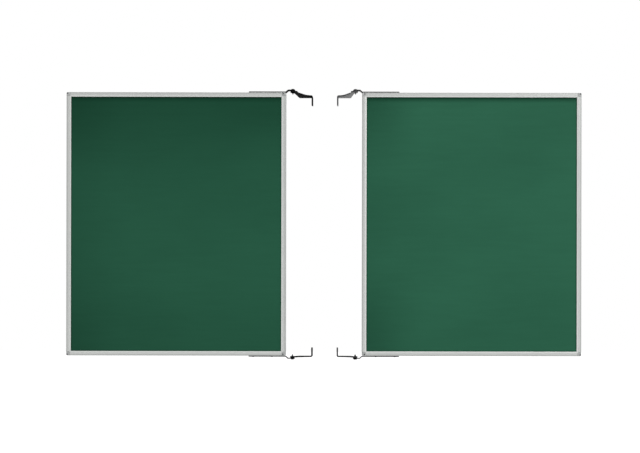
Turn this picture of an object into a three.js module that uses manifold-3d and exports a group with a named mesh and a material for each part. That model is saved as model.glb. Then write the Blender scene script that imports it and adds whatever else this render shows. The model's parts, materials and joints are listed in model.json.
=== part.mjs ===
// The two folding wings of a winged chalkboard, open flat, with the hinges that carry them.
// Millimetres. X runs from the left wing to the right, Y away from the reader, Z up. The origin is
// midway between the wings, at mid height, in the plane through both hinge axes.
// Every piece is drawn for the right wing, and for its top hinge, and mirrored for the others.

import * as THREE from 'three';
import { mergeVertices } from 'three/addons/utils/BufferGeometryUtils.js';
import Module from 'manifold-3d';

const wasm = await Module();
wasm.setup();

// The wings
const WING_WIDTH = 1000;
const WING_HEIGHT = 1200;
const WING_GAP = 346; // between the frames of the two wings
const FIT_GAP = 0.3; // between pieces that slide or fit into each other

// The board: a core with a writing sheet on each side
const CORE_THICKNESS = 12;
const SHEET_THICKNESS = 0.6;
const BOARD_THICKNESS = CORE_THICKNESS + 2 * SHEET_THICKNESS;

// The frame extrusion, seen from its end
const FRAME_FACE = 21;
const FRAME_DEPTH = 22;
const FRAME_WALL = 2;
const GROOVE_WALL = 1.8; // between the hollow and the groove
const HOLLOW_WIDTH = 5.2;
const HOLLOW_DEPTH = 16;
const OUTER_FLAT = 17; // flat width of the outer edge, where the straps lie
const CROWN_START = 6; // the face is at full depth between these two
const CROWN_END = 12;
const LIP_THICKNESS = 2.5; // where the face ends on the writing sheet
const EDGE_ROUND = 0.15; // how near the outer edge the face turns over, as a share of CROWN_START

// The corner pieces
const CORNER_SIZE = 18;
const CORNER_RADIUS = 8;
const CORNER_INNER_RADIUS = 6;
const PEG_LENGTH = 30;
const OUTER_SCREW_INSET = [5.6, 6]; // from the side edge and from the top or bottom edge
const HINGE_SCREW_INSET = [12.5, 7];

// The screws
const SCREW_RADIUS = 1.5;
const SCREW_HEAD_RADIUS = 2.9;
const SCREW_HEAD_HEIGHT = 1.1;
const SCREW_LENGTH = 13;
const STRAP_SCREW_RADIUS = 2;
const STRAP_SCREW_HEAD_RADIUS = 4;
const STRAP_SCREW_HEAD_HEIGHT = 1.6;
const STRAP_SCREW_COUNT = 2;
const STRAP_SCREW_CLEARANCE = 16; // from the end of the corner's peg to the strap's first screw
const STRAP_END_MARGIN = 20; // from the strap's end to its last screw
const PAN_EDGE = 0.45; // height of a pan head's upright edge, as a share of the head
const PAN_CROWN = 0.6; // radius of its top, as a share of the head

// The straps and their cranked ears
const STRAP_LENGTH = 170; // along the frame
const STRAP_WIDTH = 18;
const STRAP_THICKNESS = 4;
const STRAP_CORNER = 4;
const PIVOT_OFFSET = 30; // from the frame's edge to the hinge axis
const EAR_LIFT = 9; // how far the crank lifts the ear above the strap
const EAR_RADIUS = FRAME_DEPTH / 2;
const CRANK_START = 30; // from the hinge axis
const CRANK_END = 20;
const CRANK_BEND = 2;

// The pivot: a shouldered bolt that is tight in the carrier and runs in the ear's bush
const SHOULDER_RADIUS = 4;
const THREAD_RADIUS = 2.5;
const THREAD_CHAMFER = 0.75;
const BOLT_HEAD_RADIUS = 8;
const BOLT_HEAD_HEIGHT = 3.5;
const BOLT_HEAD_ROUND = 1.8; // of the head's upper edge
const BUSH_WALL = 1.8;
const BUSH_FLANGE_RADIUS = 9.5;
const NUT_FLANGE_RADIUS = 5.2;
const NUT_FLANGE_THICKNESS = 1;
const NUT_FLATS = 8;
const NUT_HEIGHT = 4; // with its flange
const THREAD_SPARE = 4.5; // of the bolt, past its nut

// The carriers
const CARRIER_THICKNESS = 6;
const CARRIER_LIFT = 1.5; // of the plate's near face above the frame's edge
const CARRIER_REACH = 87; // from the hinge axis to the flange's outer face
const CARRIER_BACK = 98; // from the hinge axis to the back edge
const BOSS_RADIUS = 13;
const BOSS_OFFSET = 2; // of the boss's centre from the hinge axis, towards the flange
const BOSS_BACK = 0.5 * Math.PI; // where the arm's back edge meets the boss
const BOSS_FRONT = -0.68 * Math.PI; // where its front edge does
// The arm's edges from above, as shares of CARRIER_REACH along X and of CARRIER_BACK along Y
const ARM_SHOULDER = [[0.222, -0.054], [0.236, -0.036], [0.239, -0.005]];
const ARM_FRONT = [[0.246, 0.09], [0.287, 0.184], [0.374, 0.321], [0.506, 0.48]];
const ARM_FRONT_END = [0.644, 0.594];
const ARM_SWEEP = 0.76;
const ARM_WAIST = [0.105, 0.27];
const ARM_WAIST_BLEND = [0.068, 0.16];
const ARM_BACK_CORNER = [0.29, 1];
const ARM_CORNER_CUT = [0.015, 0.055];
const FLANGE_WIDTH = 30;
const FLANGE_HEIGHT = 44.5;
const FLANGE_BEND = 2; // inside radius
const FLANGE_HOLE_RADIUS = 2.75;
const FLANGE_HOLE_PITCH = 18;
const FLANGE_HOLE_MARGIN = 10;

const CUT_MARGIN = 1; // how far a cutting tool passes the faces it cuts

// How many straight steps stand for a curve
const ARC_STEPS = 3;
const PLATE_STEPS = 5;
const ROUND_STEPS = 20;
const SCREW_STEPS = 10;

const GROOVE_BOTTOM = FRAME_WALL + HOLLOW_WIDTH + GROOVE_WALL;
const GROOVE_HALF = BOARD_THICKNESS / 2 + FIT_GAP;
const BOARD_INSET = GROOVE_BOTTOM + FIT_GAP;
const EAR_TOP = EAR_LIFT + STRAP_THICKNESS;
const CARRIER_TOP = CARRIER_LIFT + CARRIER_THICKNESS;
const BUSH_TOP = EAR_TOP + FIT_GAP;
const HEAD_BOTTOM = BUSH_TOP + FIT_GAP;

const FINISHES = {
  enamel: { color: 0x2a5843, roughness: 0.45, metalness: 0.0 },
  core: { color: 0xa98f6c, roughness: 0.9, metalness: 0.0 },
  aluminium: { color: 0xc4c9c6, roughness: 0.4, metalness: 0.9 },
  plastic: { color: 0x9a9d9c, roughness: 0.6, metalness: 0.0 },
  steel: { color: 0x24262a, roughness: 0.5, metalness: 0.3 },
  screw: { color: 0x55585b, roughness: 0.4, metalness: 0.8 },
  bush: { color: 0x2b2b2b, roughness: 0.6, metalness: 0.0 },
};

// Shapes and solids

function bare(geometry) {
  geometry.deleteAttribute('normal');
  geometry.deleteAttribute('uv');
  return mergeVertices(geometry, 1e-4);
}

function extruded(shape, length, steps = ARC_STEPS) {
  return bare(new THREE.ExtrudeGeometry(shape, { depth: length, bevelEnabled: false, curveSegments: steps }));
}

function block(low, high) {
  const size = high.map((value, i) => value - low[i]);
  return bare(new THREE.BoxGeometry(...size)).translate(...low.map((value, i) => value + size[i] / 2));
}

// A turned piece about the Z axis, from [radius, height] pairs that go up the outside.
function turned(profile, steps = ROUND_STEPS) {
  const points = profile.map(([radius, height]) => new THREE.Vector2(radius, height));
  return bare(new THREE.LatheGeometry(points, steps)).rotateX(Math.PI / 2);
}

// A round tool that stands on the Z axis, for a hole.
function drill(radius, low, high, steps = ROUND_STEPS) {
  return turned([[0, low], [radius, low], [radius, high], [0, high]], steps);
}

function toSolid(geometry) {
  return new wasm.Manifold(new wasm.Mesh({
    numProp: 3,
    vertProperties: new Float32Array(geometry.attributes.position.array),
    triVerts: new Uint32Array(geometry.index.array),
  }));
}

function toGeometry(solid) {
  const mesh = solid.getMesh();
  const geometry = new THREE.BufferGeometry();
  geometry.setAttribute('position', new THREE.BufferAttribute(new Float32Array(mesh.vertProperties), 3));
  geometry.setIndex(new THREE.BufferAttribute(new Uint32Array(mesh.triVerts), 1));
  return geometry;
}

function joined(...pieces) {
  return toGeometry(pieces.map(toSolid).reduce((all, piece) => all.add(piece)));
}

function cut(piece, ...tools) {
  return toGeometry(tools.map(toSolid).reduce((left, tool) => left.subtract(tool), toSolid(piece)));
}

function common(...pieces) {
  return toGeometry(pieces.map(toSolid).reduce((left, piece) => left.intersect(piece)));
}

// The mirror image across the plane where the axis is zero, with its faces still pointing out.
function mirrored(geometry, axis) {
  const image = geometry.clone();
  const { position } = image.attributes;
  const component = ['x', 'y', 'z'].indexOf(axis);
  for (let i = 0; i < position.count; i += 1) {
    position.setComponent(i, component, -position.getComponent(i, component));
  }
  const corners = Array.from(geometry.index.array);
  for (let i = 0; i < corners.length; i += 3) {
    [corners[i], corners[i + 1]] = [corners[i + 1], corners[i]];
  }
  image.setIndex(corners);
  return image;
}

// The frame extrusion

// The section's outline from the outer edge (x = 0) to the inner lip, with the depth along y.
function facePath() {
  const half = FRAME_DEPTH / 2;
  const lip = GROOVE_HALF + LIP_THICKNESS;
  const shape = new THREE.Shape();
  shape.moveTo(0, -OUTER_FLAT / 2);
  shape.quadraticCurveTo(CROWN_START * EDGE_ROUND, -half, CROWN_START, -half);
  shape.lineTo(CROWN_END, -half);
  shape.quadraticCurveTo((CROWN_END + FRAME_FACE) / 2, -half, FRAME_FACE, -lip);
  return shape;
}

function closeFace(shape) {
  const half = FRAME_DEPTH / 2;
  const lip = GROOVE_HALF + LIP_THICKNESS;
  shape.lineTo(FRAME_FACE, lip);
  shape.quadraticCurveTo((CROWN_END + FRAME_FACE) / 2, half, CROWN_END, half);
  shape.lineTo(CROWN_START, half);
  shape.quadraticCurveTo(CROWN_START * EDGE_ROUND, half, 0, OUTER_FLAT / 2);
  shape.closePath();
  return shape;
}

function railSection() {
  const shape = facePath();
  shape.lineTo(FRAME_FACE, -GROOVE_HALF);
  shape.lineTo(GROOVE_BOTTOM, -GROOVE_HALF);
  shape.lineTo(GROOVE_BOTTOM, GROOVE_HALF);
  shape.lineTo(FRAME_FACE, GROOVE_HALF);
  closeFace(shape);
  const hollow = new THREE.Path();
  hollow.moveTo(FRAME_WALL, -HOLLOW_DEPTH / 2);
  hollow.lineTo(FRAME_WALL, HOLLOW_DEPTH / 2);
  hollow.lineTo(FRAME_WALL + HOLLOW_WIDTH, HOLLOW_DEPTH / 2);
  hollow.lineTo(FRAME_WALL + HOLLOW_WIDTH, -HOLLOW_DEPTH / 2);
  hollow.closePath();
  shape.holes.push(hollow);
  return shape;
}

// A stile stands on its lower end with its outer edge at x = 0. A rail lies along X under z = 0.
const asStile = (section, length) => extruded(section, length);
const asRail = (section, length) => extruded(section, length).rotateY(Math.PI / 2);

const STILE_X = -WING_WIDTH / 2;
const RAIL_Z = WING_HEIGHT / 2;

// The next three tools cut at the corner by the hinge and the top, from places given as distances
// inwards from the side edge and from the top edge.
function cornerTool(shape) {
  return extruded(shape, FRAME_DEPTH + 2 * CUT_MARGIN).rotateX(-Math.PI / 2)
    .translate(STILE_X, -FRAME_DEPTH / 2 - CUT_MARGIN, RAIL_Z);
}

// What a mitre takes off the rail's end, or with the two distances swapped, off the stile's.
function mitreTool(forStile) {
  const far = FRAME_FACE + CUT_MARGIN;
  const offset = FIT_GAP / Math.SQRT2;
  const corners = [[-CUT_MARGIN, -CUT_MARGIN], [offset - CUT_MARGIN, -CUT_MARGIN], [far + offset, far],
    [-CUT_MARGIN, far]];
  const places = forStile ? corners.map(([side, top]) => [top, side]).reverse() : corners;
  return cornerTool(new THREE.Shape(places.map(([side, top]) => new THREE.Vector2(side, top))));
}

// The room that a corner piece takes out of the rail and the stile.
function cornerRoom() {
  const size = CORNER_SIZE + FIT_GAP;
  const round = CORNER_INNER_RADIUS + FIT_GAP;
  const shape = new THREE.Shape();
  shape.moveTo(-CUT_MARGIN, -CUT_MARGIN);
  shape.lineTo(size, -CUT_MARGIN);
  shape.absarc(size - round, size - round, round, 0, Math.PI / 2, false);
  shape.lineTo(-CUT_MARGIN, size);
  shape.closePath();
  return cornerTool(shape);
}

function hingeStile() {
  const stile = asStile(railSection(), WING_HEIGHT).translate(STILE_X, 0, -WING_HEIGHT / 2);
  const tools = [mitreTool(true), cornerRoom()];
  return cut(stile, ...tools, ...tools.map((tool) => mirrored(tool, 'z')));
}

function topRail() {
  const rail = asRail(railSection(), WING_WIDTH).translate(STILE_X, 0, RAIL_Z);
  const tools = [mitreTool(false), cornerRoom()];
  const holes = strapScrewPlaces().map((x) => (
    drill(STRAP_SCREW_RADIUS + FIT_GAP, -FRAME_WALL - CUT_MARGIN, CUT_MARGIN, SCREW_STEPS)
      .translate(STILE_X + x, 0, RAIL_Z)
  ));
  return cut(rail, ...tools, ...tools.map((tool) => mirrored(tool, 'x')), ...holes);
}

// The corner pieces

// A corner lies flush in the room cut for it, and takes the common form of the rail and the stile.
function corner([screwX, screwZ]) {
  const face = closeFace(facePath());
  const upright = asStile(face, FRAME_FACE).translate(STILE_X, 0, RAIL_Z - FRAME_FACE);
  const level = asRail(face, FRAME_FACE).translate(STILE_X, 0, RAIL_Z);
  const round = CORNER_INNER_RADIUS;
  const outline = new THREE.Shape();
  outline.absarc(CORNER_RADIUS, CORNER_RADIUS, CORNER_RADIUS, Math.PI, Math.PI * 1.5, false);
  outline.lineTo(CORNER_SIZE, 0);
  outline.absarc(CORNER_SIZE - round, CORNER_SIZE - round, round, 0, Math.PI / 2, false);
  outline.lineTo(0, CORNER_SIZE);
  outline.closePath();
  const rounded = cornerTool(outline);
  const body = common(upright, level, rounded);
  const pegLow = FRAME_WALL + FIT_GAP;
  const pegHigh = FRAME_WALL + HOLLOW_WIDTH - FIT_GAP;
  const pegHalf = HOLLOW_DEPTH / 2 - FIT_GAP;
  const root = GROOVE_BOTTOM;
  const end = CORNER_SIZE + PEG_LENGTH;
  const pegs = [
    block([STILE_X + root, -pegHalf, RAIL_Z - pegHigh], [STILE_X + end, pegHalf, RAIL_Z - pegLow]),
    block([STILE_X + pegLow, -pegHalf, RAIL_Z - end], [STILE_X + pegHigh, pegHalf, RAIL_Z - root]),
  ];
  const groove = block(
    [STILE_X + GROOVE_BOTTOM, -GROOVE_HALF, RAIL_Z - 2 * FRAME_FACE],
    [STILE_X + 2 * FRAME_FACE, GROOVE_HALF, RAIL_Z - GROOVE_BOTTOM],
  );
  const hole = drill(SCREW_RADIUS + FIT_GAP, -SCREW_LENGTH - FIT_GAP, CUT_MARGIN, SCREW_STEPS)
    .rotateX(Math.PI / 2).translate(STILE_X + screwX, -FRAME_DEPTH / 2, RAIL_Z - screwZ);
  return cut(joined(cut(body, groove), ...pegs), hole);
}

// A pan head screw, with its head on z = 0 and its shank below.
function panScrew(radius, headRadius, headHeight, length) {
  return turned([
    [0, -length],
    [radius / 2, -length],
    [radius, -length + radius],
    [radius, 0],
    [headRadius, 0],
    [headRadius, headHeight * PAN_EDGE],
    [headRadius * PAN_CROWN, headHeight],
    [0, headHeight],
  ], SCREW_STEPS);
}

function cornerScrew([screwX, screwZ]) {
  return panScrew(SCREW_RADIUS, SCREW_HEAD_RADIUS, SCREW_HEAD_HEIGHT, SCREW_LENGTH)
    .rotateX(Math.PI / 2)
    .translate(STILE_X + screwX, -FRAME_DEPTH / 2, RAIL_Z - screwZ);
}

// The hinge: from here the hinge axis is at x = 0 and the frame's edge at z = 0

// Along the frame from its edge: the first screw clears the corner's peg, the last is near the end.
function strapScrewPlaces() {
  const first = CORNER_SIZE + PEG_LENGTH + STRAP_SCREW_CLEARANCE;
  const last = STRAP_LENGTH - STRAP_END_MARGIN;
  const step = (last - first) / (STRAP_SCREW_COUNT - 1);
  return Array.from({ length: STRAP_SCREW_COUNT }, (_, i) => last - i * step);
}

// The strap's side view, along X and Z: flat on the frame, then cranked up to the ear.
function strapSide() {
  const end = PIVOT_OFFSET + STRAP_LENGTH;
  const slope = EAR_LIFT / (CRANK_START - CRANK_END);
  const shift = STRAP_THICKNESS * (Math.hypot(1, slope) - 1) / slope;
  const shape = new THREE.Shape();
  shape.moveTo(end, 0);
  shape.lineTo(CRANK_START + CRANK_BEND, 0);
  shape.quadraticCurveTo(CRANK_START, 0, CRANK_START - CRANK_BEND, CRANK_BEND * slope);
  shape.lineTo(CRANK_END + CRANK_BEND, EAR_LIFT - CRANK_BEND * slope);
  shape.quadraticCurveTo(CRANK_END, EAR_LIFT, CRANK_END - CRANK_BEND, EAR_LIFT);
  shape.lineTo(-EAR_RADIUS, EAR_LIFT);
  shape.lineTo(-EAR_RADIUS, EAR_TOP);
  shape.lineTo(CRANK_END + shift - CRANK_BEND, EAR_TOP);
  shape.quadraticCurveTo(CRANK_END + shift, EAR_TOP,
    CRANK_END + shift + CRANK_BEND, EAR_TOP - CRANK_BEND * slope);
  shape.lineTo(CRANK_START + shift - CRANK_BEND, STRAP_THICKNESS + CRANK_BEND * slope);
  shape.quadraticCurveTo(CRANK_START + shift, STRAP_THICKNESS,
    CRANK_START + shift + CRANK_BEND, STRAP_THICKNESS);
  shape.lineTo(end, STRAP_THICKNESS);
  shape.closePath();
  return shape;
}

function strapPlan() {
  const end = PIVOT_OFFSET + STRAP_LENGTH;
  const half = STRAP_WIDTH / 2;
  const waist = 0.35 * Math.PI; // where the straight sides meet the ear's round
  const shape = new THREE.Shape();
  shape.moveTo(CRANK_END, -half);
  shape.lineTo(end - STRAP_CORNER, -half);
  shape.absarc(end - STRAP_CORNER, -half + STRAP_CORNER, STRAP_CORNER, -Math.PI / 2, 0, false);
  shape.absarc(end - STRAP_CORNER, half - STRAP_CORNER, STRAP_CORNER, 0, Math.PI / 2, false);
  shape.lineTo(CRANK_END, half);
  shape.absarc(0, 0, EAR_RADIUS, waist, 2 * Math.PI - waist, false);
  shape.closePath();
  return shape;
}

function strap() {
  const side = extruded(strapSide(), 2 * EAR_RADIUS).rotateX(Math.PI / 2).translate(0, EAR_RADIUS, 0);
  const plan = extruded(strapPlan(), EAR_TOP + 2 * CUT_MARGIN, PLATE_STEPS).translate(0, 0, -CUT_MARGIN);
  const bore = SHOULDER_RADIUS + FIT_GAP + BUSH_WALL + FIT_GAP;
  const earHole = drill(bore, EAR_LIFT - CUT_MARGIN, EAR_TOP + CUT_MARGIN);
  const holes = strapScrewPlaces().map((x) => (
    drill(STRAP_SCREW_RADIUS + FIT_GAP, -CUT_MARGIN, STRAP_THICKNESS + CUT_MARGIN, SCREW_STEPS)
      .translate(PIVOT_OFFSET + x, 0, 0)
  ));
  return cut(common(side, plan), earHole, ...holes);
}

function strapScrew(x) {
  const length = STRAP_THICKNESS + FRAME_WALL + HOLLOW_WIDTH - FIT_GAP;
  return panScrew(STRAP_SCREW_RADIUS, STRAP_SCREW_HEAD_RADIUS, STRAP_SCREW_HEAD_HEIGHT, length)
    .translate(PIVOT_OFFSET + x, 0, STRAP_THICKNESS);
}

function bush() {
  const inside = SHOULDER_RADIUS + FIT_GAP;
  const outside = inside + BUSH_WALL;
  const bottom = CARRIER_TOP + FIT_GAP;
  return turned([
    [inside, bottom],
    [BUSH_FLANGE_RADIUS, bottom],
    [BUSH_FLANGE_RADIUS, EAR_LIFT],
    [outside, EAR_LIFT],
    [outside, BUSH_TOP],
    [inside, BUSH_TOP],
    [inside, bottom],
  ]);
}

function pivotBolt() {
  const tip = CARRIER_LIFT - NUT_HEIGHT - THREAD_SPARE;
  const headTop = HEAD_BOTTOM + BOLT_HEAD_HEIGHT;
  return turned([
    [0, tip],
    [THREAD_RADIUS - THREAD_CHAMFER, tip],
    [THREAD_RADIUS, tip + THREAD_CHAMFER],
    [THREAD_RADIUS, CARRIER_TOP],
    [SHOULDER_RADIUS, CARRIER_TOP],
    [SHOULDER_RADIUS, HEAD_BOTTOM],
    [BOLT_HEAD_RADIUS, HEAD_BOTTOM],
    [BOLT_HEAD_RADIUS, headTop - BOLT_HEAD_ROUND],
    [BOLT_HEAD_RADIUS - BOLT_HEAD_ROUND / 2, headTop - BOLT_HEAD_ROUND / 4],
    [BOLT_HEAD_RADIUS - 2 * BOLT_HEAD_ROUND, headTop],
    [0, headTop],
  ]);
}

// A hexagon nut with a flange that bears on the carrier.
function pivotNut() {
  const reach = NUT_FLATS / Math.sqrt(3);
  const hexagon = new THREE.Shape(Array.from({ length: 6 }, (_, i) => (
    new THREE.Vector2(reach * Math.cos(i * Math.PI / 3), reach * Math.sin(i * Math.PI / 3))
  )));
  const body = extruded(hexagon, NUT_HEIGHT).translate(0, 0, CARRIER_LIFT - NUT_HEIGHT);
  const flangeLow = CARRIER_LIFT - NUT_FLANGE_THICKNESS;
  const flange = turned([
    [0, flangeLow], [NUT_FLANGE_RADIUS, flangeLow], [NUT_FLANGE_RADIUS, CARRIER_LIFT], [0, CARRIER_LIFT],
  ]);
  const low = CARRIER_LIFT - NUT_HEIGHT - CUT_MARGIN;
  return cut(joined(body, flange), drill(THREAD_RADIUS + FIT_GAP, low, CARRIER_LIFT + CUT_MARGIN));
}

// The carrier's plate from above. Its arm runs back from the boss, behind the folded strap's path,
// and sweeps round to the flange.
function carrierPlan() {
  const at = ([reach, back]) => new THREE.Vector2(-reach * CARRIER_REACH, back * CARRIER_BACK);
  const tail = CARRIER_BACK - FLANGE_WIDTH;
  const heel = CARRIER_REACH - FLANGE_BEND - CARRIER_THICKNESS;
  const bossBack = new THREE.Vector2(BOSS_RADIUS, 0).rotateAround(new THREE.Vector2(), BOSS_BACK);
  const corner = at(ARM_BACK_CORNER);
  const cornerLow = at([ARM_BACK_CORNER[0] - ARM_CORNER_CUT[0], 1 - ARM_CORNER_CUT[1]]);
  const waist = at(ARM_WAIST);
  const waistBlend = at(ARM_WAIST_BLEND);
  const shape = new THREE.Shape();
  shape.absarc(-BOSS_OFFSET, 0, BOSS_RADIUS, BOSS_BACK, BOSS_FRONT, true);
  for (const point of ARM_SHOULDER.map(at)) shape.lineTo(point.x, point.y);
  shape.splineThru([...ARM_FRONT, ARM_FRONT_END].map(at));
  shape.quadraticCurveTo(-ARM_SWEEP * CARRIER_REACH, tail, -heel, tail);
  shape.lineTo(-heel, CARRIER_BACK);
  shape.lineTo(corner.x - ARM_CORNER_CUT[1] * CARRIER_REACH, CARRIER_BACK);
  shape.quadraticCurveTo(corner.x, CARRIER_BACK, cornerLow.x, cornerLow.y);
  shape.lineTo(waist.x, waist.y);
  shape.quadraticCurveTo(waistBlend.x, waistBlend.y, bossBack.x - BOSS_OFFSET, bossBack.y);
  return shape;
}

// The end of the plate, bent square into the flange: its side view, along X and Z.
function flangeSide() {
  const heel = CARRIER_REACH - FLANGE_BEND - CARRIER_THICKNESS;
  const bendZ = CARRIER_LIFT - FLANGE_BEND;
  const outer = FLANGE_BEND + CARRIER_THICKNESS;
  const end = CARRIER_TOP - FLANGE_HEIGHT;
  const shape = new THREE.Shape();
  shape.moveTo(-heel, CARRIER_TOP);
  shape.absarc(-heel, bendZ, outer, Math.PI / 2, Math.PI, false);
  shape.lineTo(-CARRIER_REACH, end);
  shape.lineTo(-CARRIER_REACH + CARRIER_THICKNESS, end);
  shape.lineTo(-CARRIER_REACH + CARRIER_THICKNESS, bendZ);
  shape.absarc(-heel, bendZ, FLANGE_BEND, Math.PI, Math.PI / 2, true);
  shape.closePath();
  return shape;
}

function carrier() {
  const plate = extruded(carrierPlan(), CARRIER_THICKNESS, PLATE_STEPS).translate(0, 0, CARRIER_LIFT);
  const flange = extruded(flangeSide(), FLANGE_WIDTH).rotateX(Math.PI / 2).translate(0, CARRIER_BACK, 0);
  const boltHole = drill(THREAD_RADIUS + FIT_GAP, CARRIER_LIFT - CUT_MARGIN, CARRIER_TOP + CUT_MARGIN);
  const lowest = CARRIER_TOP - FLANGE_HEIGHT + FLANGE_HOLE_MARGIN;
  const flangeHoles = [lowest, lowest + FLANGE_HOLE_PITCH].map((z) => (
    drill(FLANGE_HOLE_RADIUS, -CUT_MARGIN, CARRIER_THICKNESS + CUT_MARGIN).rotateY(Math.PI / 2)
      .translate(-CARRIER_REACH, CARRIER_BACK - FLANGE_WIDTH / 2, z)
  ));
  return cut(joined(plate, flange), boltHole, ...flangeHoles);
}

// The board

function slab(nearY, farY) {
  const halfWidth = WING_WIDTH / 2 - BOARD_INSET;
  const halfHeight = WING_HEIGHT / 2 - BOARD_INSET;
  return block([-halfWidth, nearY, -halfHeight], [halfWidth, farY, halfHeight]);
}

// Assembly

function place(parent, name, geometry, finish) {
  const mesh = new THREE.Mesh(geometry, new THREE.MeshStandardMaterial(finish));
  mesh.name = name;
  parent.add(mesh);
}

// Geometry drawn for the right wing's top hinge, turned into the copy for this side and end.
function forPlace(geometry, side, end) {
  const upright = end === 'bottom' ? mirrored(geometry, 'z') : geometry;
  return side === 'left' ? mirrored(upright, 'x') : upright;
}

function hinge(side, end) {
  const group = new THREE.Group();
  const pieces = {
    strap: [strap(), FINISHES.steel],
    bush: [bush(), FINISHES.bush],
    pivot_bolt: [pivotBolt(), FINISHES.screw],
    pivot_nut: [pivotNut(), FINISHES.screw],
    carrier: [carrier(), FINISHES.steel],
  };
  strapScrewPlaces().forEach((x, i) => {
    pieces[`strap_screw_${i + 1}`] = [strapScrew(x), FINISHES.screw];
  });
  for (const [name, [geometry, finish]] of Object.entries(pieces)) {
    place(group, `${side}_${end}_${name}`, forPlace(geometry, side, end), finish);
  }
  return group;
}

function wing(side) {
  const direction = side === 'left' ? -1 : 1;
  const group = new THREE.Group();
  group.position.x = direction * (WING_GAP + WING_WIDTH) / 2;
  const pivotX = STILE_X - PIVOT_OFFSET;

  const half = CORE_THICKNESS / 2;
  place(group, `${side}_board_core`, slab(-half, half), FINISHES.core);
  place(group, `${side}_front_sheet`, slab(-half - SHEET_THICKNESS, -half), FINISHES.enamel);
  place(group, `${side}_back_sheet`, slab(half, half + SHEET_THICKNESS), FINISHES.enamel);

  const stile = forPlace(hingeStile(), side);
  place(group, `${side}_hinge_stile`, stile, FINISHES.aluminium);
  place(group, `${side}_outer_stile`, mirrored(stile, 'x'), FINISHES.aluminium);

  for (const end of ['top', 'bottom']) {
    const put = (name, geometry, finish) => place(group, `${side}_${end}_${name}`, geometry, finish);
    put('rail', forPlace(topRail(), side, end), FINISHES.aluminium);
    put('hinge_corner', forPlace(corner(HINGE_SCREW_INSET), side, end), FINISHES.plastic);
    put('outer_corner', mirrored(forPlace(corner(OUTER_SCREW_INSET), side, end), 'x'), FINISHES.plastic);
    put('hinge_corner_screw', forPlace(cornerScrew(HINGE_SCREW_INSET), side, end), FINISHES.screw);
    const outerScrew = mirrored(forPlace(cornerScrew(OUTER_SCREW_INSET), side, end), 'x');
    put('outer_corner_screw', outerScrew, FINISHES.screw);

    const ironwork = hinge(side, end);
    ironwork.position.set(direction * pivotX, 0, end === 'top' ? RAIL_Z : -RAIL_Z);
    group.add(ironwork);
  }
  return group;
}

const wings = new THREE.Group();
wings.add(wing('left'), wing('right'));

export default wings;
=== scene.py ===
# %% [markdown]
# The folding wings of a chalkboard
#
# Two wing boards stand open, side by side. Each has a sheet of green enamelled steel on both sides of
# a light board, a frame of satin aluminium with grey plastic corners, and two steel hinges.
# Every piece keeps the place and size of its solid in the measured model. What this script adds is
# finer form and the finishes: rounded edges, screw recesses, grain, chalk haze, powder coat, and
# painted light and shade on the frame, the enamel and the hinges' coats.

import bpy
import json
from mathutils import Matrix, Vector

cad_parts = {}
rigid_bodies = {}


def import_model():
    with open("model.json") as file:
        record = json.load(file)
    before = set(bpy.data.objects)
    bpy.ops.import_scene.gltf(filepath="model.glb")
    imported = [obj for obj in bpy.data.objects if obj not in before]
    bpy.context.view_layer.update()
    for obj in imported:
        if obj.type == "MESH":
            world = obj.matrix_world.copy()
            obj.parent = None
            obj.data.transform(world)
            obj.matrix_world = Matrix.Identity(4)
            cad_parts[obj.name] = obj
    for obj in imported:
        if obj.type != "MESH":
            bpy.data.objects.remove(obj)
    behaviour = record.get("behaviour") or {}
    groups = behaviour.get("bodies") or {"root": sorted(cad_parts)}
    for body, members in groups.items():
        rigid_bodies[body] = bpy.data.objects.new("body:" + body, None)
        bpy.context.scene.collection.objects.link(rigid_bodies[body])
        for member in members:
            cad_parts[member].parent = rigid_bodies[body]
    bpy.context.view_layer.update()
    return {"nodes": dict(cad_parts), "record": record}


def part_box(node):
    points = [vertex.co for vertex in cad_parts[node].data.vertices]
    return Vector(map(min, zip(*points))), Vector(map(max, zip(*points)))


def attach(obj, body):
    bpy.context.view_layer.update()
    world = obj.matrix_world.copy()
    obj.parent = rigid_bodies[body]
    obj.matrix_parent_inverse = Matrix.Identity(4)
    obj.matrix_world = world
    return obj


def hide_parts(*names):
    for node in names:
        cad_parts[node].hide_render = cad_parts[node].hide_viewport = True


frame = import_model()

import json
from math import pi, radians, tan

import bmesh
import bpy
from mathutils import Matrix, Vector, noise

record = frame["record"]
body_of = {node: body for body, nodes in record["behaviour"]["bodies"].items() for node in nodes}

# %% [markdown]
# Where things are
#
# The two wings are mirror images, and so are the top and the bottom of each. A piece is drawn once, for
# the right wing by its top hinge, and mirrored. The main places are read from the measured model, so
# they can't drift from it: edge_x and edge_z are the edges of that wing, and pivot_x is the hinge's axis.

# %% Places
sides, ends = ("left", "right"), ("top", "bottom")
hinges = [(side, end) for side in sides for end in ends]


def middle_x(node):
    low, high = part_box(node)
    return (low.x + high.x) / 2


stile_low, stile_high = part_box("right_hinge_stile")
edge_x, edge_z = stile_low.x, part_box("right_top_rail")[1].z
wing_x, pivot_x = middle_x("right_board_core"), middle_x("right_top_pivot_bolt")
frame_face = stile_high.x - edge_x
half_depth = stile_high.y
wing_width = 2 * (wing_x - edge_x)

to_left = Matrix.Diagonal((-1, 1, 1, 1))
to_bottom = Matrix.Diagonal((1, 1, -1, 1))
to_outer = Matrix.Translation((2 * wing_x, 0, 0)) @ Matrix.Diagonal((-1, 1, 1, 1))


def turn_to(side, end="top", outer=False):
    """The mirroring that takes a piece from the right wing's top hinge corner to another corner."""
    turn = to_outer if outer else Matrix.Identity(4)
    if end == "bottom":
        turn = to_bottom @ turn
    return to_left @ turn if side == "left" else turn


print(f"wing {wing_width:.3f} m wide, hinge axis {pivot_x:.3f} m from the middle")

# %% [markdown]
# Tools for shaping
#
# Sheet metal, extrusions and mouldings all begin as a flat outline that is given length. An outline with
# rounded corners comes from a few points and a vertex bevel, and extruding its face makes it solid.
# Turned pieces are spun from half a section. Holes and joins are Booleans, which are easier to read
# than stitching the faces by hand.

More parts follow.
